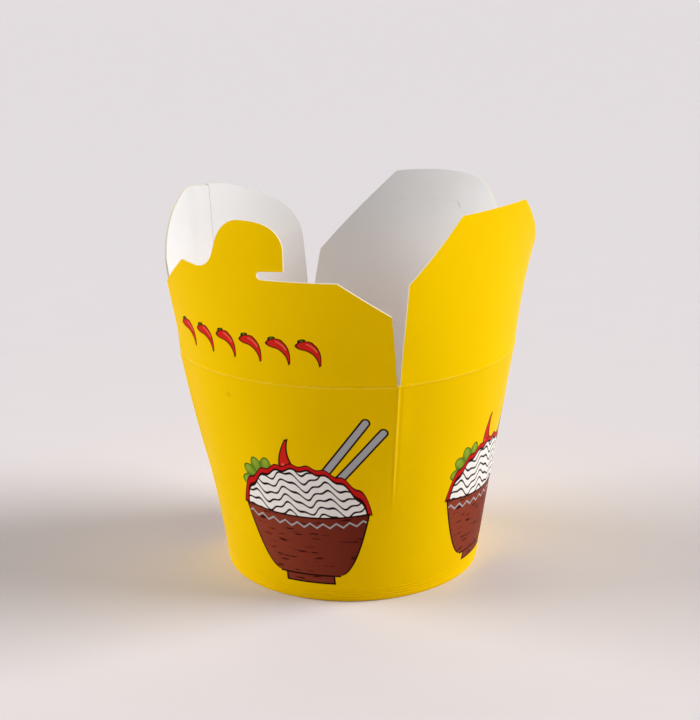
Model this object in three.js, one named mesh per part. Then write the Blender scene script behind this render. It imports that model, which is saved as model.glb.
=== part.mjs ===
// Open paperboard noodle box: a round base, a wall that widens to a rim of four gentle corners,
// and four flaps standing above the rim crease. Millimetres, +Z up, resting on the plane z = 0,
// with the origin under the middle of the space that the open box takes up.
import * as THREE from 'three';

// Driving dimensions
const board = 0.5;            // paperboard thickness
const fitGap = 0.3;           // clearance between neighbouring pieces
const footRadius = 42;        // outside of the wall on the table
const rimHeight = 74.4;       // height of the flap creases
const rimMidRadius = 53.6;    // outside of the rim in the middle of a face
const rimCornerRadius = 55.2; // outside of the rim at a corner
const cornerCreaseFrom = 0.3; // share of the wall height where the corner creases have faded out
const baseTop = 6.7;          // top of the raised base disc
const hemHeight = 5.5;        // wall paper folded in and up inside the foot
const seamFrom = -1;          // glued seam on the left face, measured along its rim arc
const seamWidth = 9;
const seamStep = 0.08;        // width of the cut edge of the seam
const facets = 20;            // flat facets along each face of the wall
const wallRows = 9;           // rows of facets up the wall
const columnPitch = 3.2;      // spacing of the bend lines in a flap
const relaxReach = 50;        // height over which a flap's curve relaxes and turns

// Rim arc of one face: its ends lie on two corners and it bulges between them
const halfChord = rimCornerRadius / Math.SQRT2;
const rimBulge = rimMidRadius - halfChord;
const rimArcRadius = (halfChord ** 2 + rimBulge ** 2) / (2 * rimBulge);
const rimArcCentre = rimMidRadius - rimArcRadius;
const halfArc = rimArcRadius * Math.asin(halfChord / rimArcRadius);

const faces = { front: -Math.PI / 2, right: 0, back: Math.PI / 2, left: Math.PI };

const paint = (name, color, roughness) =>
  new THREE.MeshStandardMaterial({ name, color, roughness, metalness: 0 });

function namedMesh(name, geometry, material) {
  const mesh = new THREE.Mesh(geometry, material);
  mesh.name = name;
  return mesh;
}

function solidFrom(points, triangles) {
  const geometry = new THREE.BufferGeometry();
  geometry.setAttribute('position', new THREE.Float32BufferAttribute(points.flatMap(p => p.toArray()), 3));
  geometry.setIndex(triangles.flat());
  geometry.computeVertexNormals();
  return geometry;
}

// Distance from the axis to the outside of the wall, at an angle from the middle of its face
function wallRadius(angle, z) {
  const round = THREE.MathUtils.mapLinear(z, 0, rimHeight, footRadius, rimMidRadius);
  const across = rimArcCentre * Math.sin(angle);
  const rim = rimArcCentre * Math.cos(angle) + Math.sqrt(rimArcRadius ** 2 - across ** 2);
  const share = THREE.MathUtils.clamp((z / rimHeight - cornerCreaseFrom) / (1 - cornerCreaseFrom), 0, 1);
  return round + (rim - rimMidRadius) * share;
}

// Angle from the middle of a face to a place w millimetres along its rim arc
function rimAngle(w) {
  const turn = w / rimArcRadius;
  return Math.atan2(rimArcRadius * Math.sin(turn), rimArcCentre + rimArcRadius * Math.cos(turn));
}

// Section of the wall as [inward offset, height, true where a seam thickens it]: up the outside,
// down the inside, and round the hem that is folded up behind the skirt of the base
function wallSection() {
  const heights = Array.from({ length: wallRows + 1 }, (_, row) => rimHeight * row / wallRows);
  const hemOuter = 2 * (board + fitGap);
  const seamFoot = baseTop + fitGap;
  const outside = heights.map(z => [0, z, false]);
  const inside = heights.filter(z => z > seamFoot).reverse().map(z => [board, z, true]);
  return [
    ...outside,
    ...inside,
    [board, seamFoot + seamStep, true],
    [board, seamFoot, false],
    [board, board, false],
    [hemOuter, board, false],
    [hemOuter, hemHeight, false],
    [hemOuter + board, hemHeight, false],
    [hemOuter + board, 0, false],
  ];
}

// Angles round the wall, with a close pair at each edge of the seam
function wallAngles() {
  const evenTurns = 4 * facets;
  const even = Array.from({ length: evenTurns }, (_, i) => ({ turn: 2 * Math.PI * i / evenTurns, seam: false }));
  const first = rimAngle(seamFrom);
  const last = rimAngle(seamFrom + seamWidth);
  const step = seamStep / rimMidRadius;
  const edges = [[first - step, false], [first, true], [last, true], [last + step, false]];
  const seamEdges = edges.map(([angle, seam]) => ({ turn: faces.left + angle, seam }));
  const inSeam = turn => turn > faces.left + first && turn < faces.left + last;
  const clear = even.filter(({ turn }) => seamEdges.every(edge => Math.abs(edge.turn - turn) > 4 * step));
  const marked = clear.map(({ turn }) => ({ turn, seam: inSeam(turn) }));
  return [...marked, ...seamEdges].sort((a, b) => a.turn - b.turn);
}

function buildWall() {
  const section = wallSection();
  const angles = wallAngles();
  const points = [];
  for (const { turn, seam } of angles) {
    const fromFace = turn - Math.round(turn / (Math.PI / 2)) * (Math.PI / 2);
    for (const [inward, z, thickens] of section) {
      const ply = seam && thickens ? board : 0;
      const radius = wallRadius(fromFace, z) - inward - ply;
      points.push(new THREE.Vector3(radius * Math.cos(turn), radius * Math.sin(turn), z));
    }
  }
  const triangles = [];
  const count = section.length;
  angles.forEach((_, i) => {
    const here = i * count;
    const next = ((i + 1) % angles.length) * count;
    for (let j = 0; j < count; j += 1) {
      const k = (j + 1) % count;
      triangles.push([here + j, next + j, next + k], [here + j, next + k, here + k]);
    }
  });
  return namedMesh('wall', solidFrom(points, triangles), paint('printed_board', 0xf5c800, 0.42));
}

// Raised base disc with its skirt turned down between the wall and the hem
function buildBase() {
  const skirtFoot = board + fitGap;
  const skirtRadius = z => wallRadius(0, z) - board - fitGap;
  const section = [
    new THREE.Vector2(0, baseTop - board),
    new THREE.Vector2(skirtRadius(baseTop) - board, baseTop - board),
    new THREE.Vector2(skirtRadius(skirtFoot) - board, skirtFoot),
    new THREE.Vector2(skirtRadius(skirtFoot), skirtFoot),
    new THREE.Vector2(skirtRadius(baseTop), baseTop),
    new THREE.Vector2(0, baseTop),
  ];
  const disc = new THREE.LatheGeometry(section, 4 * facets);
  disc.rotateX(Math.PI / 2);
  return namedMesh('base_disc', disc, paint('white_board', 0xf0eeea, 0.55));
}

// Outlines of the flaps laid flat: x runs along the rim arc, y up from the crease. On the left
// flap the upright lines are skewed, as its seam is.
const footHalf = halfArc - 1.1; // half width of a flap at its crease

function startFlap() {
  const shape = new THREE.Shape();
  shape.moveTo(-footHalf, fitGap);
  shape.lineTo(footHalf, fitGap);
  return shape;
}

// Front flap: low shoulders and, in the middle, a hook with a slot under its nose
function hookOutline() {
  const shape = startFlap();
  const shoulderTop = 32.6;
  const slotWidth = 2.6;
  const slotEnd = 4.7;
  const noseRight = 12.6;
  const crown = 50.3;
  shape.lineTo(41, 23);
  shape.lineTo(27, shoulderTop + 0.7);
  shape.lineTo(slotEnd, shoulderTop);
  shape.absarc(slotEnd, shoulderTop + slotWidth / 2, slotWidth / 2, -Math.PI / 2, Math.PI / 2, true);
  shape.lineTo(noseRight - 0.6, shoulderTop + slotWidth + 0.7);
  shape.lineTo(noseRight, 42.5);
  shape.bezierCurveTo(noseRight, 47.4, 9.2, crown, 2.9, crown);
  shape.lineTo(0, crown);
  shape.bezierCurveTo(-4.2, crown, -7.5, 47.3, -9.7, 43.4);
  shape.bezierCurveTo(-11.7, 39.4, -12.9, 34, -19.3, 33.8);
  shape.lineTo(-26.3, 34.6);
  shape.lineTo(-40.5, 24.6);
  return shape;
}

// Right flap: a tall plain trapezoid
function trapezoidOutline() {
  const shape = startFlap();
  const top = 47.4;
  shape.lineTo(39.4, 30);
  shape.lineTo(18.4, top - 0.4);
  shape.quadraticCurveTo(17.9, top, 17.2, top);
  shape.lineTo(-17.2, top);
  shape.quadraticCurveTo(-17.9, top, -18.4, top - 0.4);
  shape.lineTo(-39.4, 30);
  return shape;
}

// Left flap: as tall, worn rounder on its back corner, with a small step where the seam ends
function seamOutline() {
  const shape = startFlap();
  shape.lineTo(36.7, 29.8);
  shape.quadraticCurveTo(27.6, 41.2, 14.6, 47.9);
  shape.quadraticCurveTo(12.2, 49.3, 9, 49.5);
  shape.lineTo(seamFrom, 48.3);
  shape.lineTo(seamFrom, 48.9);
  shape.lineTo(-12.4, 47.5);
  shape.lineTo(-25.1, 43.5);
  shape.bezierCurveTo(-36, 39.4, -42.4, 34.5, -43.2, 26);
  shape.lineTo(-42.9, 15);
  return shape;
}

// Back flap: steep sides, a slightly crowned top, and the slit that takes the hook
function slitOutline() {
  const shape = startFlap();
  shape.lineTo(38.2, 18.9);
  shape.lineTo(13.3, 47.3);
  shape.quadraticCurveTo(1, 49.5, -11.3, 47.9);
  shape.quadraticCurveTo(-17, 46.6, -21.2, 40.6);
  shape.lineTo(-38.2, 18.9);
  shape.holes.push(slit());
  return shape;
}

// Narrow slit: a long straight run that turns down at both ends
function slit() {
  const width = 0.7;
  const run = 38;
  const path = new THREE.Path();
  path.moveTo(16.4, 33.6);
  path.quadraticCurveTo(13.2, run - 1, 9, run - 0.6);
  path.lineTo(-7.4, run);
  path.quadraticCurveTo(-9.4, run, -9.6, run - 2.6);
  path.lineTo(-9.6 + width, run - 2.6);
  path.quadraticCurveTo(-8.6, run - width, -7.2, run - width);
  path.lineTo(8.8, run - 0.6 - width);
  path.quadraticCurveTo(12.8, run - 1.2 - width, 15.9, 33.2);
  path.closePath();
  return path;
}

// Cuts a flat outline with holes into upright strips, so that it can bend along its columns
function stripTriangles(shape, extraColumns) {
  const curveSteps = 7;
  const { shape: outline, holes } = shape.extractPoints(curveSteps);
  const rings = [outline, ...holes];
  const snap = value => Math.round(value * 1e5) / 1e5;
  const corners = rings.flat().map(p => snap(p.x));
  const reach = Math.floor(halfArc / columnPitch) * columnPitch;
  const even = [];
  for (let w = -reach; w <= reach; w += columnPitch) even.push(snap(w));
  const tooClose = w => corners.concat(extraColumns).some(c => Math.abs(c - w) < 0.4 * columnPitch);
  const columns = [...new Set([...corners, ...extraColumns, ...even.filter(w => !tooClose(w))])];
  columns.sort((a, b) => a - b);

  const spans = []; // [column index, lower edge, upper edge], each edge as heights at both columns
  for (let i = 0; i + 1 < columns.length; i += 1) {
    const [from, to] = [columns[i], columns[i + 1]];
    const crossings = [];
    for (const ring of rings) {
      ring.forEach((p, n) => {
        const q = ring[(n + 1) % ring.length];
        const [a, b] = p.x < q.x ? [p, q] : [q, p];
        if (snap(a.x) > from || snap(b.x) < to || snap(a.x) === snap(b.x)) return;
        const heightAt = w => snap(a.y + (b.y - a.y) * (w - a.x) / (b.x - a.x));
        crossings.push([heightAt(from), heightAt(to)]);
      });
    }
    crossings.sort((a, b) => a[0] + a[1] - b[0] - b[1]);
    for (let n = 0; n + 1 < crossings.length; n += 2) spans.push([i, crossings[n], crossings[n + 1]]);
  }

  const levels = columns.map(() => new Set());
  for (const [i, low, high] of spans) {
    [low[0], high[0]].forEach(y => levels[i].add(y));
    [low[1], high[1]].forEach(y => levels[i + 1].add(y));
  }
  const flat = [];
  const indexOf = new Map();
  const place = (i, y) => {
    const key = `${i}:${y}`;
    if (!indexOf.has(key)) {
      indexOf.set(key, flat.length);
      flat.push([columns[i], y]);
    }
    return indexOf.get(key);
  };
  const between = (i, low, high) =>
    [...levels[i]].filter(y => y >= low && y <= high).sort((a, b) => a - b).map(y => place(i, y));
  const triangles = [];
  for (const [i, low, high] of spans) {
    const left = between(i, low[0], high[0]);
    const right = between(i + 1, low[1], high[1]);
    let [l, r] = [0, 0];
    while (l + 1 < left.length || r + 1 < right.length) {
      const leftNext = flat[left[l + 1]]?.[1] ?? Infinity;
      const rightNext = flat[right[r + 1]]?.[1] ?? Infinity;
      if (leftNext < rightNext) {
        triangles.push([left[l], right[r], left[l + 1]]);
        l += 1;
      } else {
        triangles.push([left[l], right[r], right[r + 1]]);
        r += 1;
      }
    }
  }
  return { flat, triangles: triangles.filter(([a, b, c]) => a !== b && b !== c && c !== a) };
}

// Surface of a flap: it stands on the rim arc, and towards its top its curve relaxes and turns
function flapSurface({ face, lean, relax, twist, skew = 0 }) {
  const slope = THREE.MathUtils.degToRad(lean);
  const up = new THREE.Vector3(0, 0, 1);
  const out = new THREE.Vector3(Math.cos(faces[face]), Math.sin(faces[face]), 0);
  const along = new THREE.Vector3().crossVectors(up, out);
  return (x, y) => {
    const curvature = (1 - relax * y / relaxReach) / rimArcRadius;
    const turn = curvature * (x + skew * y) * (1 + y * Math.sin(slope) / rimArcRadius);
    const place = new THREE.Vector2(Math.sin(turn), Math.cos(turn) - 1).divideScalar(curvature);
    place.rotateAround(new THREE.Vector2(), THREE.MathUtils.degToRad(twist * y / relaxReach));
    return out.clone().multiplyScalar(rimMidRadius + y * Math.sin(slope) + place.y)
      .addScaledVector(along, place.x)
      .addScaledVector(up, rimHeight + y * Math.cos(slope));
  };
}

// Bends a flat outline to its flap's surface and gives it the board's thickness
function buildFlap({ name, outline, seam = false, ...shape }) {
  const seamEnd = seamFrom + seamWidth;
  const seamColumns = seam ? [seamFrom - seamStep, seamFrom, seamEnd, seamEnd + seamStep] : [];
  const { flat, triangles } = stripTriangles(outline(), seamColumns);
  const surface = flapSurface(shape);
  const bend = (x, y, depth) => {
    const step = 0.01;
    const across = surface(x + step, y).sub(surface(x - step, y));
    const upward = surface(x, y + step).sub(surface(x, y - step));
    return surface(x, y).addScaledVector(across.cross(upward).normalize(), -depth);
  };
  const thickness = x => (seam && x >= seamFrom && x <= seamEnd ? 2 * board : board);
  const outer = flat.map(([x, y]) => bend(x, y, 0));
  const inner = flat.map(([x, y]) => bend(x, y, thickness(x)));

  const count = flat.length;
  const solid = [];
  const edges = new Map();
  for (const [a, b, c] of triangles) {
    solid.push([a, b, c], [count + a, count + c, count + b]);
    for (const [p, q] of [[a, b], [b, c], [c, a]]) {
      if (!edges.delete(`${q}:${p}`)) edges.set(`${p}:${q}`, [p, q]);
    }
  }
  for (const [p, q] of edges.values()) {
    solid.push([p, count + p, q], [q, count + p, count + q]);
  }
  return namedMesh(name, solidFrom([...outer, ...inner], solid), paint(`${name}_board`, 0xf5c800, 0.42));
}

const flaps = [
  { name: 'hook_flap', face: 'front', lean: 8.8, relax: 0.53, twist: 7.1, outline: hookOutline },
  { name: 'right_flap', face: 'right', lean: -1, relax: 0.64, twist: 8.4, outline: trapezoidOutline },
  { name: 'slit_flap', face: 'back', lean: 13.3, relax: 0.31, twist: -0.8, outline: slitOutline },
  {
    name: 'left_flap', face: 'left', lean: -3, relax: 0.4, twist: 6, skew: 0.13, outline: seamOutline,
    seam: true,
  },
];

const noodleBox = new THREE.Group();
noodleBox.add(buildWall(), buildBase(), ...flaps.map(buildFlap));
const middle = new THREE.Box3().setFromObject(noodleBox, true).getCenter(new THREE.Vector3());
noodleBox.position.set(-middle.x, -middle.y, 0);

export default noodleBox;
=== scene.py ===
import math
import bpy
from mathutils import Matrix, Vector, noise
from mathutils.geometry import delaunay_2d_cdt


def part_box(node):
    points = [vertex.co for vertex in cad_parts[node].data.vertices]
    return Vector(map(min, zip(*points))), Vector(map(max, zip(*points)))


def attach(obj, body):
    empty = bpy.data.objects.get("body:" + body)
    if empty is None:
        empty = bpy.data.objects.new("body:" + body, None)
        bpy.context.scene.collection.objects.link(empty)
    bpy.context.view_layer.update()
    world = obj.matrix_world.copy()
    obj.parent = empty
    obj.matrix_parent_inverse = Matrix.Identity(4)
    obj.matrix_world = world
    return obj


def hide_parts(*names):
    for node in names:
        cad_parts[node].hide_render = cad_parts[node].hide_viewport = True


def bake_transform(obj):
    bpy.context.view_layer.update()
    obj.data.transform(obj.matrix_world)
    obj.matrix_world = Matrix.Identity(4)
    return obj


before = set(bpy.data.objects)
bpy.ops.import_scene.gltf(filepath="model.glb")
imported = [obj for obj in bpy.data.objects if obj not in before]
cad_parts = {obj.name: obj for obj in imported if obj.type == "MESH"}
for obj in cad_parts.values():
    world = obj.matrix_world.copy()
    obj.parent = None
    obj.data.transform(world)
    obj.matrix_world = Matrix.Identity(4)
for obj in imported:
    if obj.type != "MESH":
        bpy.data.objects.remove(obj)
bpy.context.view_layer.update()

mm = 0.001
fullTurn = 2 * math.pi
artUnit = 100.0             # millimetres in one unit of the print's own coordinates
printSide, whiteSide, cutSide = 0, 1, 2          # places of the finishes on a piece of board

# The box as a whole, in millimetres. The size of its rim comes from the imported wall.
wallLow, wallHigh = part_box("wall")
footMiddle = Vector(((wallLow.x + wallHigh.x) / 2, (wallLow.y + wallHigh.y) / 2, 0))
box = dict(
    board=0.5,
    footRadius=42.0,
    rimHeight=wallHigh.z / mm,
    rimMid=(wallHigh.x - wallLow.x) / 2 / mm,
    rimCorner=55.2,
    creaseFrom=0.3,         # share of the height where the corner creases have faded out
    seamFrom=-1.0,          # glued seam on the left face, along the rim arc
    seamTo=8.0,
    seamEdge=0.05,          # width of the step at each edge of the seam
)
halfChord = box["rimCorner"] / math.sqrt(2)
rimBulge = box["rimMid"] - halfChord
arcRadius = (halfChord ** 2 + rimBulge ** 2) / (2 * rimBulge)
arcCentre = box["rimMid"] - arcRadius
halfArc = arcRadius * math.asin(halfChord / arcRadius)
faceTurns = dict(front=-math.pi / 2, right=0.0, back=math.pi / 2, left=math.pi)


def smooth(low, high, value):
    t = min(1.0, max(0.0, (value - low) / (high - low)))
    return t * t * (3 - 2 * t)


def bump(value, middle, width):
    return math.exp(-((value - middle) / width) ** 2)


def nearTurn(turn):                              # the same direction, within half a turn either way
    return (turn + math.pi) % fullTurn - math.pi


def quarterArc(first, steps=6):                  # sine and cosine, round a quarter turn
    turns = [math.pi / 2 * i / steps for i in range(first, steps + 1)]
    return [(math.sin(turn), math.cos(turn)) for turn in turns]


# Camera at the photo's angle: 30 degrees round to the right of the hook flap
shot = dict(
    azimuth=30.25,
    distance=450.0,
    height=195.7,
    pitch=15.94,
    roll=-0.96,
    focalPixels=1416.0,
    longSide=720,
    sensor=36,
    clip=(0.01, 50),
)


def makeCamera():
    turn = math.radians(shot["azimuth"])
    data = bpy.data.cameras.new("camera")
    data.sensor_width = shot["sensor"]
    data.lens = shot["focalPixels"] / shot["longSide"] * shot["sensor"]
    data.clip_start, data.clip_end = shot["clip"]
    camera = bpy.data.objects.new("camera", data)
    bpy.context.collection.objects.link(camera)
    away = Vector((math.sin(turn), -math.cos(turn), 0)) * shot["distance"] * mm
    place = footMiddle + away + Vector((0, 0, shot["height"] * mm))
    camera.matrix_world = (
        Matrix.Translation(place)
        @ Matrix.Rotation(turn, 4, "Z")
        @ Matrix.Rotation(math.radians(90 - shot["pitch"]), 4, "X")
        @ Matrix.Rotation(math.radians(shot["roll"]), 4, "Z")
    )
    bpy.context.scene.camera = camera


makeCamera()
print("camera set")


# Shader maths: a Wire is a socket that can be used in sums
class Wire:
    def __init__(self, finish, socket):
        self.finish, self.socket = finish, socket

    def __add__(self, other):
        return self.finish.math("ADD", self, other)

    def __radd__(self, other):
        return self.finish.math("ADD", other, self)

    def __sub__(self, other):
        return self.finish.math("SUBTRACT", self, other)

    def __rsub__(self, other):
        return self.finish.math("SUBTRACT", other, self)

    def __mul__(self, other):
        return self.finish.math("MULTIPLY", self, other)

    def __rmul__(self, other):
        return self.finish.math("MULTIPLY", other, self)

    def __truediv__(self, other):
        return self.finish.math("DIVIDE", self, other)

    def __pow__(self, other):
        return self.finish.math("POWER", self, other)

    def __abs__(self):
        return self.finish.math("ABSOLUTE", self)


class Finish:
    def __init__(self, name, shaderValues):
        self.material = bpy.data.materials.new(name)
        self.material.use_nodes = True
        self.tree = self.material.node_tree
        self.tree.nodes.clear()
        output = self.tree.nodes.new("ShaderNodeOutputMaterial")
        self.shader = self.tree.nodes.new("ShaderNodeBsdfPrincipled")
        self.tree.links.new(self.shader.outputs[0], output.inputs[0])
        self.use(shaderValues)

    def feed(self, socket, value):
        if isinstance(value, Wire):
            self.tree.links.new(value.socket, socket)
        elif value is not None:
            socket.default_value = value

    def use(self, sockets):                      # wires and fixed values of the shader's own sockets
        for socket, value in sockets.items():
            self.feed(self.shader.inputs[socket], value)
        return self.material

    def node(self, kind, settings=None, sockets=None, out=0):
        made = self.tree.nodes.new(kind)
        for key, value in (settings or {}).items():
            setattr(made, key, value)
        for key, value in (sockets or {}).items():
            self.feed(made.inputs[key], value)
        return Wire(self, made.outputs[out])

    def math(self, operation, a, b=None, clamp=False):
        sockets = {0: a} if b is None else {0: a, 1: b}
        return self.node("ShaderNodeMath", dict(operation=operation, use_clamp=clamp), sockets)

    def least(self, a, b):
        return self.math("MINIMUM", a, b)

    def most(self, a, b):
        return self.math("MAXIMUM", a, b)

    def sine(self, a):
        return self.math("SINE", a)

    def fraction(self, a):
        return self.math("FRACT", a)

    def clamp(self, a):
        return self.math("ADD", a, 0.0, clamp=True)

    def length(self, a, b):
        return (a * a + b * b) ** 0.5

    def inside(self, distance, blur=0.12):       # 1 inside a shape, 0 outside, with a soft edge
        return self.clamp(0.5 - distance / blur)

    def bar(self, x, y, start, end, radius):     # distance to a round-ended bar
        dx, dy = end[0] - start[0], end[1] - start[1]
        along = self.clamp(((x - start[0]) * dx + (y - start[1]) * dy) / (dx * dx + dy * dy))
        return self.length(x - start[0] - along * dx, y - start[1] - along * dy) - radius

    def stamp(self, under, distance, fill, line, lineColour=None):
        outlined = self.mix(self.inside(distance - line), under, lineColour or colours["ink"])
        return self.mix(self.inside(distance), outlined, fill)

    def mix(self, factor, a, b):
        return self.node("ShaderNodeMix", dict(data_type="RGBA"), {0: factor, 6: a, 7: b}, out=2)

    def noise(self, place, scale, detail=2.0, rough=0.5):
        sockets = dict(Vector=place, Scale=scale, Detail=detail, Roughness=rough)
        return self.node("ShaderNodeTexNoise", None, sockets)

    def restPlace(self):                         # place on the piece as built, in metres
        return self.node("ShaderNodeAttribute", dict(attribute_name="restPlace"), out="Vector")

    def split(self, vector, scale):              # the three parts of a vector, in millimetres
        parts = self.node("ShaderNodeSeparateXYZ", None, {0: vector})
        return [Wire(self, part) * scale for part in parts.socket.node.outputs]

    def artPlace(self):                          # along the face and up, in millimetres
        return self.split(self.node("ShaderNodeUVMap", dict(uv_map="artPlace")), artUnit)[:2]

    def relief(self, height, depth, strength, under=None):
        sockets = dict(Height=height, Distance=depth * mm, Strength=strength, Normal=under)
        return self.node("ShaderNodeBump", None, sockets)


def linear(red, green, blue):
    def channel(c):
        c /= 255
        return c / 12.92 if c <= 0.04045 else ((c + 0.055) / 1.055) ** 2.4
    return channel(red), channel(green), channel(blue), 1.0


colours = dict(
    yellow=linear(252, 208, 0),
    yellowDeep=linear(247, 200, 0),
    white=linear(240, 241, 242),
    whiteWarm=linear(232, 230, 227),
    # painted warm light for the white side low inside the box
    whiteLowPaintedWarmLight=linear(247, 237, 230),
    edge=linear(240, 224, 168),
    edgeWorn=linear(234, 230, 218),
    ink=linear(38, 14, 12),
    bowl=linear(112, 41, 31),
    bowlLight=linear(146, 66, 46),
    bowlDark=linear(64, 20, 18),
    noodle=linear(250, 246, 240),
    sauce=linear(206, 30, 30),
    leaf=linear(150, 176, 52),
    leafDark=linear(84, 120, 34),
    red=linear(218, 40, 30),
    redLight=linear(240, 110, 84),
    # painted shadow along the edge of the glued ply
    stick=linear(176, 176, 178),
    gap=linear(112, 108, 104),
    smudge=linear(178, 128, 0),
    # pale print along the creases: partly rubbed print, partly a painted highlight
    worn=linear(255, 226, 92),
    floor=linear(226, 220, 222),
    floorGrain=linear(224, 218, 220),
    studio=linear(255, 250, 252),
)

# A chilli lying with its stem to the left, in millimetres
chilli = dict(
    bend=0.11,              # how much the pod curves
    rise=0.9,
    radius=1.75,            # at the shoulder, less towards the tip
    taper=0.22,
    shoulder=-3.0,
    tip=4.3,
    roundAt=-2.9,
    roundRadius=1.8,
    stem=((-4.2, 0.4), (-4.8, 1.9), 0.35),       # both ends and half the width
    shine=((-3.0, 0.7), (0.6, 0.35), 0.22),
)


def turned(x, y, cosine, sine):
    return x * cosine - y * sine, x * sine + y * cosine


def chilliAt(finish, under, x, y, size, line):
    c = chilli
    x, y = x / size, y / size
    bend = y + c["bend"] * (x * x) - c["rise"]
    thick = abs(bend) - c["radius"] + c["taper"] * (x - c["shoulder"])
    pod = finish.most(thick, finish.most(c["shoulder"] - x, x - c["tip"]))
    pod = finish.least(pod, finish.length(x - c["roundAt"], bend) - c["roundRadius"])
    stem = finish.bar(x, bend, *c["stem"])
    shine = finish.inside(finish.bar(x, bend, *c["shine"]))
    under = finish.stamp(under, stem * size, colours["leafDark"], line)
    skin = finish.mix(shine, colours["red"], colours["redLight"])
    return finish.stamp(under, pod * size, skin, line)


# The bowl of noodles printed on every face of the wall, in millimetres round its own middle
bowlArt = dict(
    line=0.55,
    sticks=(((1, 36), (22.5, 62.5)), ((5, 35), (27.5, 59))),
    stickRadius=0.95,
    leafAt=(-12, 39.5),
    leafRadius=6.8,
    leafLobes=11,
    leafRuffle=1.9,
    leafVeins=(0.2, 1.3),
    chilliAt=(-2, 47),
    chilliTurn=(-0.34, -0.94),                   # cosine and sine
    chilliSize=1.9,
    rim=31.0,
    heapFoot=30.0,          # the noodles rise from here as half an ellipse
    heapHalfWidth=19.6,
    heapHeight=15.5,
    heapScale=13.0,         # turns the ellipse's share of a radius into millimetres
    heapWave=(0.35, 1.15, 1.0),                  # height, radians in each millimetre, and start
    heapSunk=1.5,
    sauceWidth=1.5,
    sauceRim=0.2,
    sauceLine=0.3,
    strand=2.7,
    strandHalf=0.37,        # half a strand's share of their spacing
    strandBlur=0.08,
    strandWave=(1.5, 0.5, 0.6),
    curl=(0.55, 1.24, 0.3),
    low=9.5,
    lowHalfWidth=9.5,
    halfWidth=20.5,
    roundness=0.55,
    rimDrop=1.6,            # the rim's near side hangs lower in the middle
    rimCurve=0.004,
    footHalfWidth=7.6,
    footAt=8.3,
    footHalfHeight=1.6,
    shade=(0.55, 0.028),    # lighter to the left
    strokes=(0.16, 0.9),    # stretched noise across and up
    strokesFrom=0.6,
    strokesContrast=14,
    zigzagDrop=3.2,
    zigzagHeight=1.5,
    zigzagTeeth=0.24,       # in each millimetre
    zigzagRadius=0.32,
)


def sticksPrint(finish, under, x, y):
    for start, end in bowlArt["sticks"]:
        stick = finish.bar(x, y, start, end, bowlArt["stickRadius"])
        under = finish.stamp(under, stick, colours["stick"], bowlArt["line"])
    return under


def leavesPrint(finish, under, x, y):
    a = bowlArt
    across, up = x - a["leafAt"][0], y - a["leafAt"][1]
    ruffle = abs(finish.sine(finish.math("ARCTAN2", up, across) * (a["leafLobes"] / 2)))
    edge = finish.length(across, up) - a["leafRadius"] - ruffle * a["leafRuffle"]
    rise, start = a["leafVeins"]
    veins = finish.mix(ruffle * finish.clamp(edge * rise + start), colours["leafDark"], colours["leaf"])
    return finish.stamp(under, edge, veins, a["line"], colours["leafDark"])


def noodlesPrint(finish, under, x, y):           # heaped over the rim, with sauce behind them
    a = bowlArt
    share = finish.length(x / a["heapHalfWidth"], (y - a["heapFoot"]) / a["heapHeight"])
    height, turns, start = a["heapWave"]
    heap = (share - 1) * a["heapScale"] + height * finish.sine(x * turns + start)
    sauce = finish.most(heap - a["sauceWidth"], a["rim"] + a["sauceRim"] - y)
    heap = finish.most(heap, a["rim"] - a["heapSunk"] - y)
    height, turns, start = a["strandWave"]
    curl, curlTurns, curlSlant = a["curl"]
    wave = y + height * finish.sine(x * turns + start) + curl * finish.sine(x * curlTurns + y * curlSlant)
    band = abs(finish.fraction(wave / a["strand"]) - 0.5) - a["strandHalf"]
    strands = finish.mix(finish.inside(band, a["strandBlur"]), colours["ink"], colours["noodle"])
    under = finish.stamp(under, sauce, colours["sauce"], a["sauceLine"])
    return finish.stamp(under, heap, strands, a["line"])


def dishPrint(finish, under, x, y):              # a round side, a foot and a zigzag under the rim
    a = bowlArt
    level = finish.clamp((y - a["low"]) / (a["rim"] - a["low"]))
    widening = a["halfWidth"] - a["lowHalfWidth"]
    side = abs(x) - a["lowHalfWidth"] - widening * level ** a["roundness"]
    rimLine = a["rim"] - a["rimDrop"] + a["rimCurve"] * x * x
    dish = finish.most(finish.most(side, y - rimLine), a["low"] - y)
    foot = finish.most(abs(x) - a["footHalfWidth"], abs(y - a["footAt"]) - a["footHalfHeight"])
    middle, fall = a["shade"]
    glaze = finish.mix(finish.clamp(middle - x * fall), colours["bowl"], colours["bowlLight"])
    across, up = a["strokes"]
    stretched = finish.node("ShaderNodeCombineXYZ", None, {0: x * across, 1: y * up, 2: 0.0})
    strokes = finish.clamp((finish.noise(stretched, 1.0) - a["strokesFrom"]) * a["strokesContrast"])
    glaze = finish.mix(strokes, glaze, colours["bowlDark"])
    teeth = a["zigzagHeight"] * abs(finish.fraction(x * a["zigzagTeeth"] + 0.5) * 2 - 1)
    zigzag = abs(y - rimLine + a["zigzagDrop"] - teeth) - a["zigzagRadius"]
    glaze = finish.mix(finish.inside(zigzag), glaze, colours["stick"])
    under = finish.stamp(under, foot, glaze, a["line"])
    return finish.stamp(under, dish, glaze, a["line"])


def bowlPrint(finish, under):
    a = bowlArt
    x, y = finish.artPlace()
    under = sticksPrint(finish, under, x, y)
    under = leavesPrint(finish, under, x, y)
    podX, podY = turned(x - a["chilliAt"][0], y - a["chilliAt"][1], *a["chilliTurn"])
    under = chilliAt(finish, under, podX, podY, a["chilliSize"], a["line"])
    under = noodlesPrint(finish, under, x, y)
    return dishPrint(finish, under, x, y)


# A row of small chillies over the crease of the hook flap
chilliRow = dict(
    first=-34.5,
    pitch=9.4,
    count=6,
    level=11.0,
    middle=0.6,             # share of the pitch where a chilli's middle lies
    turn=(0.66, 0.75),      # cosine and sine
    size=0.98,
    line=0.4,
    cut=0.01,               # blur at the two ends of the row
)


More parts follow.
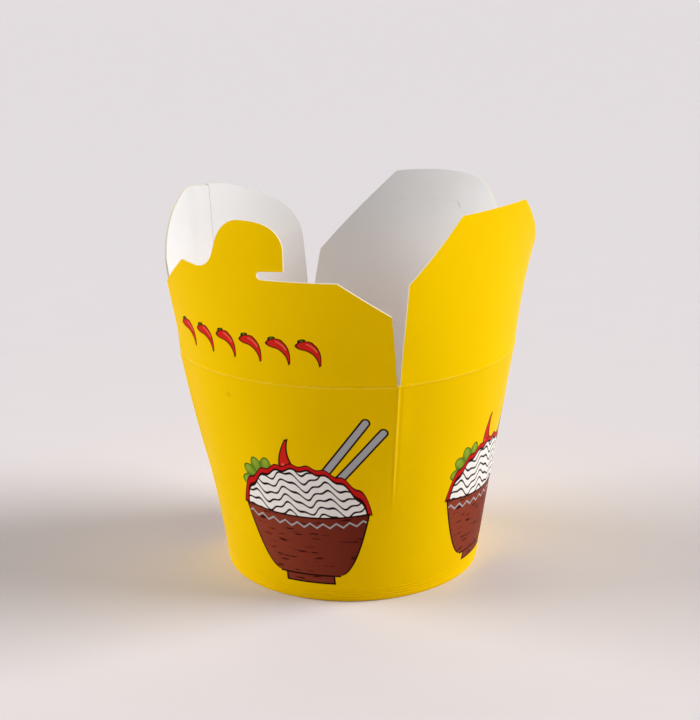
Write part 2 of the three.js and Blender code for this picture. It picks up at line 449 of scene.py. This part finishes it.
def chilliPrint(finish, under):
    a = chilliRow
    u, v = finish.artPlace()
    cell = (u - a["first"]) / a["pitch"]
    x, y = turned((finish.fraction(cell) - a["middle"]) * a["pitch"], v - a["level"], *a["turn"])
    printed = chilliAt(finish, under, x, y, a["size"], a["line"])
    half = a["count"] / 2
    return finish.mix(finish.inside(abs(cell - half) - half, a["cut"]), under, printed)


# Print rubbed pale along the rim crease and the corner creases, with a painted highlight on the same lines,
# in millimetres
wearAndHighlight = dict(
    rimLine=0.4,            # how far below the crease the rubbed line runs
    halfWidth=0.14,
    blur=0.4,
    slant=0.7,              # nearly the cosine of 45 degrees, as the corners lie on the diagonals
    cornerFrom=38.0,
    cornerRise=0.07,
    patches=240.0,
    patchContrast=3,
    patchFrom=0.9,
    amount=0.55,
)


def creaseWearAndHighlight(finish, place):
    x, y, z = finish.split(place, 1 / mm)
    above = z - box["rimHeight"]
    across = abs(abs(x - footMiddle.x / mm) - abs(y - footMiddle.y / mm)) * wearAndHighlight["slant"]
    rim = finish.inside(abs(above + wearAndHighlight["rimLine"]) - wearAndHighlight["halfWidth"], wearAndHighlight["blur"])
    corner = finish.inside(across - wearAndHighlight["halfWidth"], wearAndHighlight["blur"]) * finish.inside(above)
    corner = corner * finish.clamp((z - wearAndHighlight["cornerFrom"]) * wearAndHighlight["cornerRise"])
    patches = finish.noise(place, wearAndHighlight["patches"], 3.0) * wearAndHighlight["patchContrast"] - wearAndHighlight["patchFrom"]
    return finish.most(rim, corner) * finish.clamp(patches) * wearAndHighlight["amount"]


# The printed side: satin yellow board, slightly wavy, with a faint mark near the rim of the front face
printed = dict(
    shader={"Specular IOR Level": 0.012, "Specular Tint": (1.0, 0.72, 0.2, 1.0), "IOR": 1.46},
    mottle=60.0,
    waves=160.0,
    fibre=2600.0,
    roughness=0.36,
    wavesGloss=0.1,
    fibreGloss=0.06,
    wavesRelief=(0.2, 0.12),                     # depth in millimetres, and strength
    fibreRelief=(0.02, 0.35),
    smudgeAt=(-13.2, -50.9, 67.7),
    smudgeRadius=0.6,
    smudgeBlur=1.4,
    smudgeAmount=0.35,
)


def smudgeMask(finish, place):
    middle = footMiddle + Vector(printed["smudgeAt"]) * mm
    settings = dict(operation="DISTANCE")
    away = finish.node("ShaderNodeVectorMath", settings, {0: place, 1: middle}, out="Value") * (1 / mm)
    return finish.inside(away - printed["smudgeRadius"], printed["smudgeBlur"]) * printed["smudgeAmount"]


def printedFinish(name, art=None):
    finish = Finish(name, printed["shader"])
    place = finish.restPlace()
    mottle = finish.noise(place, printed["mottle"], 3.0)
    colour = finish.mix(mottle, colours["yellow"], colours["yellowDeep"])
    colour = finish.mix(smudgeMask(finish, place), colour, colours["smudge"])
    # pale lines along the creases: rubbed print and a painted highlight
    colour = finish.mix(creaseWearAndHighlight(finish, place), colour, colours["worn"])
    if art:
        colour = art(finish, colour)
    waves = finish.noise(place, printed["waves"])
    fibre = finish.noise(place, printed["fibre"], 3.0, 0.6)
    gloss = printed["wavesGloss"] * (waves - 0.5) + printed["fibreGloss"] * (fibre - 0.5)
    normal = finish.relief(waves, *printed["wavesRelief"])
    normal = finish.relief(fibre, *printed["fibreRelief"], normal)
    return finish.use({"Base Color": colour, "Roughness": printed["roughness"] + gloss, "Normal": normal})


# The white side, with a painted warm light low inside the box
plain = dict(
    shader={"Specular IOR Level": 0.3},
    mottle=45.0,
    fibre=1900.0,
    fibreRelief=(0.03, 0.35),
    roughness=0.42,
    mottleGloss=0.12,
    paintedWarmTop=112,            # millimetres up, where the painted warm light has faded out
    paintedWarmFall=0.026,
    paintedWarmFoot=15,
    paintedWarmRise=0.02,
    seamShadowHalfWidth=0.16,     # painted shadow under the edge of the glued ply
    seamShadowBlur=0.3,
    seamShadowAmount=0.8,
)


def whiteFinish(name, seam=None):
    finish = Finish(name, plain["shader"])
    place = finish.restPlace()
    mottle = finish.noise(place, plain["mottle"], 3.0)
    fibre = finish.noise(place, plain["fibre"], 4.0, 0.6)
    colour = finish.mix(mottle, colours["white"], colours["whiteWarm"])
    height = finish.split(place, 1 / mm)[2]
    # painted warm light: the white side turns warmer low inside the box, fading out towards the top of the
    # flaps and towards the base
    paintedWarmLight = finish.clamp((plain["paintedWarmTop"] - height) * plain["paintedWarmFall"])
    paintedWarmLight = paintedWarmLight * finish.clamp((height - plain["paintedWarmFoot"]) * plain["paintedWarmRise"])
    colour = finish.mix(paintedWarmLight, colour, colours["whiteLowPaintedWarmLight"])
    if seam is not None:
        # painted shadow along the edge of the glued ply on the white side
        across = abs(finish.artPlace()[0] - seam) - plain["seamShadowHalfWidth"]
        shadow = finish.inside(across, plain["seamShadowBlur"]) * plain["seamShadowAmount"]
        colour = finish.mix(shadow, colour, colours["gap"])
    roughness = plain["roughness"] + plain["mottleGloss"] * (mottle - 0.5)
    normal = finish.relief(fibre, *plain["fibreRelief"])
    return finish.use({"Base Color": colour, "Roughness": roughness, "Normal": normal})


# The cut edge of the board
cut = dict(
    shader={"Specular IOR Level": 0.3},
    fibre=3200.0,
    fibreRelief=(0.03, 0.4),
    roughness=0.7,
    fibreGloss=0.1,
)


def edgeFinish():
    finish = Finish("cutEdge", cut["shader"])
    fibre = finish.noise(finish.restPlace(), cut["fibre"])
    colour = finish.mix(fibre, colours["edge"], colours["edgeWorn"])
    roughness = cut["roughness"] + cut["fibreGloss"] * (fibre - 0.5)
    normal = finish.relief(fibre, *cut["fibreRelief"])
    return finish.use({"Base Color": colour, "Roughness": roughness, "Normal": normal})


plainPrint = printedFinish("plainPrint")
bowlBoard = printedFinish("bowlPrint", bowlPrint)
chilliBoard = printedFinish("chilliPrint", chilliPrint)
whiteBoard = whiteFinish("whiteBoard")
seamShadowBoard = whiteFinish("seamShadowBoard", box["seamFrom"])
cutEdge = edgeFinish()
print("finishes made")


def meshPiece(name, points, polygons, finishes, artAt, materials, sharp=35):
    mesh = bpy.data.meshes.new(name)
    mesh.from_pydata([footMiddle + p * mm for p in points], [], polygons)
    for material in materials:
        mesh.materials.append(material)
    for polygon, index in zip(mesh.polygons, finishes):
        polygon.material_index = index
    uv = mesh.uv_layers.new(name="artPlace")
    for polygon, spots in zip(mesh.polygons, artAt):
        for loop, spot in zip(polygon.loop_indices, spots):
            uv.data[loop].uv = (spot[0] / artUnit, spot[1] / artUnit)
    rest = mesh.attributes.new("restPlace", "FLOAT_VECTOR", "POINT")
    for vertex in mesh.vertices:
        rest.data[vertex.index].vector = vertex.co
    mesh.validate()
    mesh.shade_smooth()
    mesh.set_sharp_from_angle(angle=math.radians(sharp))
    piece = bpy.data.objects.new(name, mesh)
    bpy.context.collection.objects.link(piece)
    return piece


# Relief of the rim crease, in millimetres, at a height above it
crease = dict(bead=0.17, beadAt=-0.42, groove=0.07, grooveAt=0.4, width=0.3)


def creaseRelief(above):
    bead = crease["bead"] * bump(above, crease["beadAt"], crease["width"])
    return bead - crease["groove"] * bump(above, crease["grooveAt"], crease["width"])


# The wall: outside, rolled foot, hem and inside, as one closed section swept round the box
wall = dict(
    bulge=0.6,              # the faces run flatter into a corner crease than a true round would
    bulgeWidth=3.6,
    bulgeFade=(0.35, 0.85),                      # shares of the height where it starts and is full
    ridge=0.16,             # raised line of a corner crease, with a hollow beside it
    ridgeWidth=0.35,
    ridgeFade=(0.42, 0.62),
    dent=0.1,
    dentAt=0.9,
    dentWidth=0.5,
    knurl=0.09,             # fine rings pressed into the foot
    knurlPitch=1.0,
    knurlTop=5.5,
    knurlFade=1.5,
    sway=0.22,              # how far the board strays from a true round
    swayRound=1.7,
    swayUp=1.5,
    swayStart=4,
    swayFade=0.15,
    hemHeight=5.5,
    hemOuter=1.6,
    footRound=0.45,
    plyFoot=7.2,            # the inner ply of the seam starts here
    plyFade=(7.5, 12.5),    # and thins out along the rim arc
    seamStep=0.3,           # outside, the board rises over the ply under it and ends in a cut edge
    seamRise=(-8, 2),
    artShift=dict(front=9.0, right=4.0, back=9.0, left=4.0),
)
wallMesh = dict(
    step=1.5,               # spacing of the columns in the middle of a face
    nearCorner=(0, 0.12, 0.24, 0.36, 0.5, 0.66, 0.85, 1.1, 1.5, 2.1),
    seamGap=0.3,
    nearRim=(0, 0.12, 0.24, 0.36, 0.5, 0.7, 1.0, 1.5, 2.2, 3.2),
    middleRows=38,
    footTop=6.0,            # closer rows from here down, for the rings
    footRow=0.17,
    footRows=32,
    insideRow=3.0,
)


def rimAngle(w):
    turn = w / arcRadius
    return math.atan2(arcRadius * math.sin(turn), arcCentre + arcRadius * math.cos(turn))


def wallRadius(angle, z):
    up = z / box["rimHeight"]
    level = box["footRadius"] + (box["rimMid"] - box["footRadius"]) * up
    across = arcCentre * math.sin(angle)
    rim = arcCentre * math.cos(angle) + math.sqrt(arcRadius ** 2 - across ** 2)
    share = min(1.0, max(0.0, (up - box["creaseFrom"]) / (1 - box["creaseFrom"])))
    return level + (rim - box["rimMid"]) * share


def withSeam(places, gap):                       # columns with a pair at each edge of the seam
    edge = box["seamEdge"]
    seam = [box["seamFrom"] - edge, box["seamFrom"], box["seamTo"], box["seamTo"] + edge]
    return [w for w in places if min(abs(w - e) for e in seam) > gap] + seam


def onSeamStep(face, places):                    # true on the narrow strip where the outer board ends
    middle = box["seamTo"] + box["seamEdge"] / 2
    return face == "left" and all(abs(w - middle) < 0.6 * box["seamEdge"] for w in places)


def wallColumns():                               # (turn, face, place along the rim arc)
    near = wallMesh["nearCorner"]
    reach = halfArc - near[-1]
    count = int(2 * reach / wallMesh["step"])
    inner = [-reach + 2 * reach * i / count for i in range(1, count)]
    side = [halfArc - d for d in near]
    columns = []
    for face, turn in faceTurns.items():
        places = sorted(set([-w for w in side] + inner + side[1:]))
        if face == "left":
            places = withSeam(places, wallMesh["seamGap"])
        columns += [((turn + rimAngle(w)) % fullTurn, face, w) for w in places]
    return sorted(columns)


def wallSection():                               # (inward offset, height, finish of the next strip)
    top, board, hem = box["rimHeight"], box["board"], wall["hemOuter"]
    near, low, count = wallMesh["nearRim"], wallMesh["footTop"], wallMesh["middleRows"]
    rowsTop = [top - d for d in near]
    rowsMid = [rowsTop[-1] - (rowsTop[-1] - low) * i / count for i in range(1, count + 1)]
    rowsFoot = [low - wallMesh["footRow"] * i for i in range(1, wallMesh["footRows"] + 1)]
    outside = [(0, z, printSide) for z in rowsTop + rowsMid + rowsFoot]
    r = wall["footRound"]
    width = hem + board
    roll = [(r - r * c, r - r * s, printSide) for s, c in quarterArc(1)]
    back = [(width - r + r * s, r - r * c, printSide) for s, c in quarterArc(1)]
    folded = [(width, wall["hemHeight"], cutSide), (hem, wall["hemHeight"], whiteSide)]
    channel = [(hem, board, whiteSide), (board, board, whiteSide)]
    rowsInside = [wallMesh["insideRow"], low] + (rowsTop[1:] + rowsMid[:-1])[::-1]
    inside = [(board, z, whiteSide) for z in rowsInside]
    return outside + roll + back + folded + channel + inside + [(board, top, cutSide)]


def seamPly(face, w, z):
    if face != "left" or z < wall["plyFoot"]:
        return 0
    start = smooth(box["seamFrom"] - box["seamEdge"], box["seamFrom"], w)
    return box["board"] * start * (1 - smooth(*wall["plyFade"], w))


def seamStep(face, w):
    if face != "left":
        return 0.0
    end = smooth(box["seamTo"], box["seamTo"] + box["seamEdge"], w)
    return wall["seamStep"] * smooth(*wall["seamRise"], w) * (1 - end)


def cornerBulge(w):
    return wall["bulge"] * bump(halfArc - abs(w), 0, wall["bulgeWidth"])


def wallBulge(w, z):
    return cornerBulge(w) * smooth(*wall["bulgeFade"], z / box["rimHeight"])


def outerRelief(face, w, z, turn):
    up = z / box["rimHeight"]
    fromCorner = halfArc - abs(w)
    ridge = wall["ridge"] * bump(fromCorner, 0, wall["ridgeWidth"])
    dent = wall["dent"] * bump(fromCorner, wall["dentAt"], wall["dentWidth"])
    line = (ridge - dent) * smooth(*wall["ridgeFade"], up)
    rings = wall["knurl"] * math.sin(z / wall["knurlPitch"] * fullTurn)
    rings *= smooth(wall["knurlTop"], wall["knurlTop"] - wall["knurlFade"], z)
    around = wall["swayRound"]
    place = (math.cos(turn) * around, math.sin(turn) * around, up * wall["swayUp"] + wall["swayStart"])
    fade = smooth(0.0, wall["swayFade"], up) * smooth(1.0, 1 - wall["swayFade"], up)
    drift = wall["sway"] * noise.noise(Vector(place)) * fade
    return line + wallBulge(w, z) + rings + drift + seamStep(face, w) + creaseRelief(z - box["rimHeight"])


def wallPoint(turn, face, w, inward, z):
    radius = wallRadius(nearTurn(turn - faceTurns[face]), z) - inward
    if inward == 0:
        radius += outerRelief(face, w, z, turn)
    elif inward == box["board"]:
        radius += wallBulge(w, z) - seamPly(face, w, z)
    return Vector((radius * math.cos(turn), radius * math.sin(turn), z))


def buildWall():
    columns = wallColumns()
    section = wallSection()
    points = [wallPoint(*column, inward, z) for column in columns for inward, z, side in section]
    polygons, finishes, artAt = [], [], []
    count, around = len(section), len(columns)
    for i in range(around):
        j = (i + 1) % around
        turns = [columns[n][0] for n in (i, j)]
        middle = turns[0] + (turns[1] - turns[0]) % fullTurn / 2
        face = min(faceTurns, key=lambda name: abs(nearTurn(middle - faceTurns[name])))
        left, right = [nearTurn(turn - faceTurns[face]) for turn in turns]
        onStep = onSeamStep(face, [columns[n][2] for n in (i, j)])
        shift = wall["artShift"][face]
        for a in range(count):
            b = (a + 1) % count
            polygons.append((i * count + a, i * count + b, j * count + b, j * count + a))
            finishes.append(cutSide if onStep and section[a][0] == 0 else section[a][2])
            spots = []
            for angle, n in ((left, a), (left, b), (right, b), (right, a)):
                inward, z = section[n][:2]
                spots.append((angle * (wallRadius(0, z) - inward) - shift, z))
            artAt.append(spots)
    return meshPiece("boxWall", points, polygons, finishes, artAt, [bowlBoard, whiteBoard, cutEdge])


wallPiece = buildWall()
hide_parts("wall")
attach(wallPiece, "box")
print("wall built")

footHalf = halfArc - 0.45   # half the width of a flap at its crease


# Outlines of the flaps, laid flat: first along the rim arc, then up from the crease
def curve(start, first, second, end, steps=8):
    spots = []
    for i in range(1, steps + 1):
        t = i / steps
        u = 1 - t
        spots.append(tuple(u ** 3 * a + 3 * u * u * t * b + 3 * u * t * t * c + t ** 3 * d
                           for a, b, c, d in zip(start, first, second, end)))
    return spots


def hookOutline():
    slotEnd, slotLow, slotHigh, slotSteps = 4.7, 32.6, 35.2, 10
    noseRight, crown = 12.6, 50.3
    half = (slotHigh - slotLow) / 2
    turns = [math.pi * i / slotSteps for i in range(slotSteps + 1)]
    slot = [(slotEnd - half * math.sin(t), slotLow + half - half * math.cos(t)) for t in turns]
    spots = [(-footHalf, 0), (footHalf, 0), (41, 23), (27, slotLow + 0.7)] + slot
    spots += [(noseRight - 0.6, slotHigh + 0.7), (noseRight, 42.5)]
    spots += curve((noseRight, 42.5), (noseRight, 47.4), (9.2, crown), (2.9, crown))
    spots += [(0, crown)] + curve((0, crown), (-4.2, crown), (-7.5, 47.3), (-9.7, 43.4))
    spots += curve((-9.7, 43.4), (-11.7, 39.4), (-12.9, 34), (-19.3, 33.8))
    return spots + [(-26.3, 34.6), (-40.5, 24.6)], []


def trapezoidOutline():
    corner = [(39.4, 30), (18.4, 47), (18.0, 47.3), (17.2, 47.4)]
    return [(-footHalf, 0), (footHalf, 0)] + corner + [(-x, y) for x, y in reversed(corner)], []


def seamOutline():
    seam, edge = box["seamFrom"], box["seamEdge"]
    spots = [(-footHalf, 0), (footHalf, 0), (36.7, 29.8)]
    spots += curve((36.7, 29.8), (30.6, 37.4), (23.3, 43.4), (14.6, 47.9))
    spots += curve((14.6, 47.9), (13, 48.8), (11.1, 49.4), (9, 49.5), 4)
    spots += [(seam, 48.3), (seam - edge, 48.9), (-12.4, 47.5), (-25.1, 43.5)]
    return spots + curve((-25.1, 43.5), (-36, 39.4), (-42.4, 34.5), (-43.2, 26)) + [(-42.9, 15)], []


def slitOutline():
    spots = [(-footHalf, 0), (footHalf, 0), (38.2, 18.9), (13.3, 47.3)]
    spots += curve((13.3, 47.3), (5.1, 48.8), (-3.1, 49), (-11.3, 47.9))
    spots += curve((-11.3, 47.9), (-15.1, 47), (-18.4, 44.6), (-21.2, 40.6)) + [(-38.2, 18.9)]
    upper = [(16.4, 33.6)] + curve((16.4, 33.6), (14.3, 35.9), (11.8, 37.2), (9, 37.4)) + [(-7.4, 38)]
    upper += curve((-7.4, 38), (-8.7, 38), (-9.4, 37), (-9.6, 35.4))
    width, narrowing, shift = 0.1, 0.985, 0.05
    lower = [(x * narrowing + shift, y - width) for x, y in reversed(upper[1:-1])]
    return spots, [upper + lower]


# The flaps lean, relax and turn as in the photo; skew slants the upright lines of the seam
flaps = dict(
    hook=dict(node="hook_flap", body="hook_side", face="front", outline=hookOutline,
              lean=8.8, relax=0.53, twist=7.1, skew=0, outside=chilliBoard, inside=whiteBoard),
    right=dict(node="right_flap", body="right_side", face="right", outline=trapezoidOutline,
               lean=-1, relax=0.64, twist=8.4, skew=0, outside=plainPrint, inside=whiteBoard),
    slit=dict(node="slit_flap", body="slit_side", face="back", outline=slitOutline,
              lean=13.3, relax=0.31, twist=-0.8, skew=0, outside=plainPrint, inside=whiteBoard),
    left=dict(node="left_flap", body="left_side", face="left", outline=seamOutline,
              lean=-3, relax=0.4, twist=6, skew=0.13, outside=plainPrint, inside=seamShadowBoard),
)
flapMesh = dict(
    edgeStep=0.9,
    holeStep=0.6,
    column=1.6,
    seamGap=0.8,
    row=2.0,
    rows=24,
    nearCrease=(0.12, 0.24, 0.36, 0.5, 0.7, 1.0, 1.5),
    gap=0.5,                # how far the inner points stay off an edge
    nearGap=0.1,
    weld=0.00001,
    relaxReach=50.0,        # height over which the curve of a flap relaxes and turns
    bulgeTop=9,             # height where the bulge beside a corner has faded out
    foldLength=22.0,        # how far up a flap its crease would bend if it closed
)


def ringPoints(ring, step):
    spots = []
    for (x0, y0), (x1, y1) in zip(ring, ring[1:] + ring[:1]):
        pieces = max(1, int(math.hypot(x1 - x0, y1 - y0) / step))
        spots += [(x0 + (x1 - x0) * i / pieces, y0 + (y1 - y0) * i / pieces) for i in range(pieces)]
    return spots


def clearOf(spot, rings, gap):
    x, y = spot
    for ring in rings:
        for (x0, y0), (x1, y1) in zip(ring, ring[1:] + ring[:1]):
            dx, dy = x1 - x0, y1 - y0
            t = min(1.0, max(0.0, ((x - x0) * dx + (y - y0) * dy) / (dx * dx + dy * dy)))
            if math.hypot(x0 + t * dx - x, y0 + t * dy - y) < gap:
                return False
    return True


def flatFlap(spec):
    outline, holes = spec["outline"]()
    rings = [ringPoints(outline, flapMesh["edgeStep"])]
    rings += [ringPoints(hole, flapMesh["holeStep"]) for hole in holes]
    spots, edges, faces = [], [], []
    for ring in rings:
        numbers = [len(spots) + i for i in range(len(ring))]
        spots += ring
        edges += list(zip(numbers, numbers[1:] + numbers[:1]))
        faces.append(numbers)
    columns = int(2 * halfArc / flapMesh["column"])
    lines = [-halfArc + flapMesh["column"] * (i + 0.5) for i in range(columns)]
    if spec["face"] == "left":
        lines = withSeam(lines, flapMesh["seamGap"])
    near = flapMesh["nearCrease"]
    heights = list(near) + [near[-1] + flapMesh["row"] * i for i in range(1, flapMesh["rows"] + 1)]
    for w in lines:
        for y in heights:
            if clearOf((w, y), rings, flapMesh["nearGap" if y in near else "gap"]):
                spots.append((w, y))
    keepInside = 2                               # triangles inside the outline and outside its holes
    made = delaunay_2d_cdt([Vector(s) for s in spots], edges, faces, keepInside, flapMesh["weld"])
    return made[0], made[2]


def flapSurface(spec, x, y):
    slope = math.radians(spec["lean"])
    facing = faceTurns[spec["face"]]
    curvature = (1 - spec["relax"] * y / flapMesh["relaxReach"]) / arcRadius
    turn = curvature * (x + spec["skew"] * y) * (1 + y * math.sin(slope) / arcRadius)
    across, out = math.sin(turn) / curvature, (math.cos(turn) - 1) / curvature
    twist = math.radians(spec["twist"]) * y / flapMesh["relaxReach"]
    across, out = turned(across, out, math.cos(twist), math.sin(twist))
    out += box["rimMid"] + y * math.sin(slope)
    east, north = turned(out, across, math.cos(facing), math.sin(facing))
    return Vector((east, north, box["rimHeight"] + y * math.cos(slope)))


def flapPoint(spec, x, y, depth):
    step = 0.01
    across = flapSurface(spec, x + step, y) - flapSurface(spec, x - step, y)
    upward = flapSurface(spec, x, y + step) - flapSurface(spec, x, y - step)
    place = flapSurface(spec, x, y) - across.cross(upward).normalized() * depth
    if y == 0:                                   # the foot lies flush on the rim
        place.z = box["rimHeight"]
    return place


def flapDepths(face, w, y):                      # of the outside and the inside, below the true surface
    bulge = cornerBulge(w) * smooth(flapMesh["bulgeTop"], 0, y)
    outer = -creaseRelief(y) - bulge - seamStep(face, w)
    inner = box["board"] + seamPly(face, w, box["rimHeight"]) - bulge
    return outer, inner


def flapShell(face, spots, triangles):           # outside, inside, and the cut edge all round
    count = len(spots)
    polygons, finishes, artAt = [], [], []
    openEdges = {}
    for tri in triangles:
        onStep = onSeamStep(face, [spots[n][0] for n in tri])
        polygons += [tuple(tri), tuple(count + n for n in reversed(tri))]
        finishes += [cutSide if onStep else printSide, whiteSide]
        artAt += [[spots[n] for n in tri], [spots[n] for n in reversed(tri)]]
        for i in range(3):
            a, b = tri[i], tri[(i + 1) % 3]
            if (b, a) in openEdges:
                del openEdges[(b, a)]
            else:
                openEdges[(a, b)] = True
    for a, b in openEdges:
        polygons.append((a, count + a, count + b, b))
        finishes.append(cutSide)
        artAt.append([spots[a], spots[a], spots[b], spots[b]])
    return polygons, finishes, artAt


def buildFlap(name, spec):
    spots, triangles = flatFlap(spec)
    depths = [flapDepths(spec["face"], w, y) for w, y in spots]
    points = [flapPoint(spec, w, y, depth[side]) for side in (0, 1) for (w, y), depth in zip(spots, depths)]
    polygons, finishes, artAt = flapShell(spec["face"], spots, triangles)
    materials = [spec["outside"], spec["inside"], cutEdge]
    piece = meshPiece(name + "FlapBoard", points, polygons, finishes, artAt, materials)
    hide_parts(spec["node"])
    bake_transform(piece)


for name, spec in flaps.items():
    buildFlap(name, spec)
print("flaps built")


# The raised base: a disc with its skirt turned down inside the wall
base = dict(top=6.7, skirtFoot=0.8, gap=0.04, rounding=0.4, columns=144, rings=12, sharp=50)


def skirtRadius(z):
    return wallRadius(0, z) - box["board"] - base["gap"]


def baseSection():                               # (radius, height), from the middle of the underside
    r, t, rings = base["rounding"], box["board"], base["rings"]
    top, foot = base["top"], base["skirtFoot"]
    rim, low = skirtRadius(top), skirtRadius(foot)
    under = [(rim * i / rings, top - t) for i in range(rings)]
    skirt = [(rim - t, top - t), (low - t, foot), (low, foot)]
    corner = [(rim - r + r * c, top - r + r * s) for s, c in quarterArc(0)]
    return under + skirt + corner + [(rim * i / rings, top) for i in range(rings - 1, -1, -1)]


def buildBase():
    section = baseSection()
    n = base["columns"]
    turns = [fullTurn * i / n for i in range(n)]
    points = [Vector((r * math.cos(t), r * math.sin(t), z)) for t in turns for r, z in section[1:-1]]
    count = len(section) - 2
    low, high = len(points), len(points) + 1
    points += [Vector((0, 0, section[0][1])), Vector((0, 0, section[-1][1]))]
    polygons = []
    for i in range(n):
        here, beside = i * count, (i + 1) % n * count
        polygons.append((low, beside, here))
        polygons.append((high, here + count - 1, beside + count - 1))
        for a in range(count - 1):
            polygons.append((here + a, beside + a, beside + a + 1, here + a + 1))
    artAt = [[(points[v].x, points[v].y) for v in polygon] for polygon in polygons]
    finishes = [0] * len(polygons)
    piece = meshPiece("baseBoard", points, polygons, finishes, artAt, [whiteBoard], base["sharp"])
    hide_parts("base_disc")
    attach(piece, "box")


buildBase()
print("base built")

# Pale floor, swept up far away, and soft studio light
studio = dict(
    floorReach=10.0,        # metres
    floorFlat=0.8,          # share of the reach that is flat
    floorColumns=96,
    sweep=1.1,
    sweepRings=8,
    world=0.04,
    suns=(                  # turn from the camera, lift, strength, softness
        ("rightSun", 90, 33, 3.0, 34),
        ("leftSun", -97, 26, 2.18, 38),
        ("backSun", 180, 50, 0.45, 60),
        ("frontSun", -50, 40, 0.25, 60),
    ),
)
paper = dict(shader={"Specular IOR Level": 0.2}, grain=30.0, roughness=0.8, grainGloss=0.05)


def paperFinish():
    finish = Finish("floorPaper", paper["shader"])
    grain = finish.noise(finish.node("ShaderNodeTexCoord", out="Object"), paper["grain"])
    colour = finish.mix(grain, colours["floor"], colours["floorGrain"])
    return finish.use({"Base Color": colour, "Roughness": paper["roughness"] + paper["grainGloss"] * grain})


def buildFloor():
    reach, flat, count = studio["floorReach"], studio["floorFlat"], studio["floorColumns"]
    rings = [(reach * flat + reach * (1 - flat) * s, studio["sweep"] * (1 - c))
             for s, c in quarterArc(0, studio["sweepRings"])]
    turns = [fullTurn * i / count for i in range(count)]
    points = [(r * math.cos(t), r * math.sin(t), z) for r, z in rings for t in turns]
    polygons = [tuple(range(count))]
    for k in range(studio["sweepRings"]):
        for i in range(count):
            j = (i + 1) % count
            low, high = k * count, (k + 1) * count
            polygons.append((low + i, high + i, high + j, low + j))
    mesh = bpy.data.meshes.new("floor")
    mesh.from_pydata(points, [], polygons)
    mesh.shade_smooth()
    mesh.materials.append(paperFinish())
    floor = bpy.data.objects.new("floor", mesh)
    bpy.context.collection.objects.link(floor)


def softSun(name, azimuth, elevation, strength, spread):
    data = bpy.data.lights.new(name, "SUN")
    data.energy = strength
    data.angle = math.radians(spread)
    lamp = bpy.data.objects.new(name, data)
    turn, lift = math.radians(azimuth), math.radians(elevation)
    toLamp = Vector((math.sin(turn) * math.cos(lift), -math.cos(turn) * math.cos(lift), math.sin(lift)))
    lamp.location = footMiddle + toLamp * 2
    lamp.rotation_euler = toLamp.to_track_quat("Z", "Y").to_euler()
    bpy.context.collection.objects.link(lamp)


def lightStudio():
    world = bpy.data.worlds.new("studio")
    world.use_nodes = True
    background = world.node_tree.nodes["Background"]
    background.inputs[0].default_value = colours["studio"]
    background.inputs[1].default_value = studio["world"]
    bpy.context.scene.world = world
    bpy.context.scene.view_settings.view_transform = "Standard"
    for name, turn, lift, strength, softness in studio["suns"]:
        softSun(name, shot["azimuth"] + turn, lift, strength, softness)


buildFloor()
lightStudio()
print("studio set")
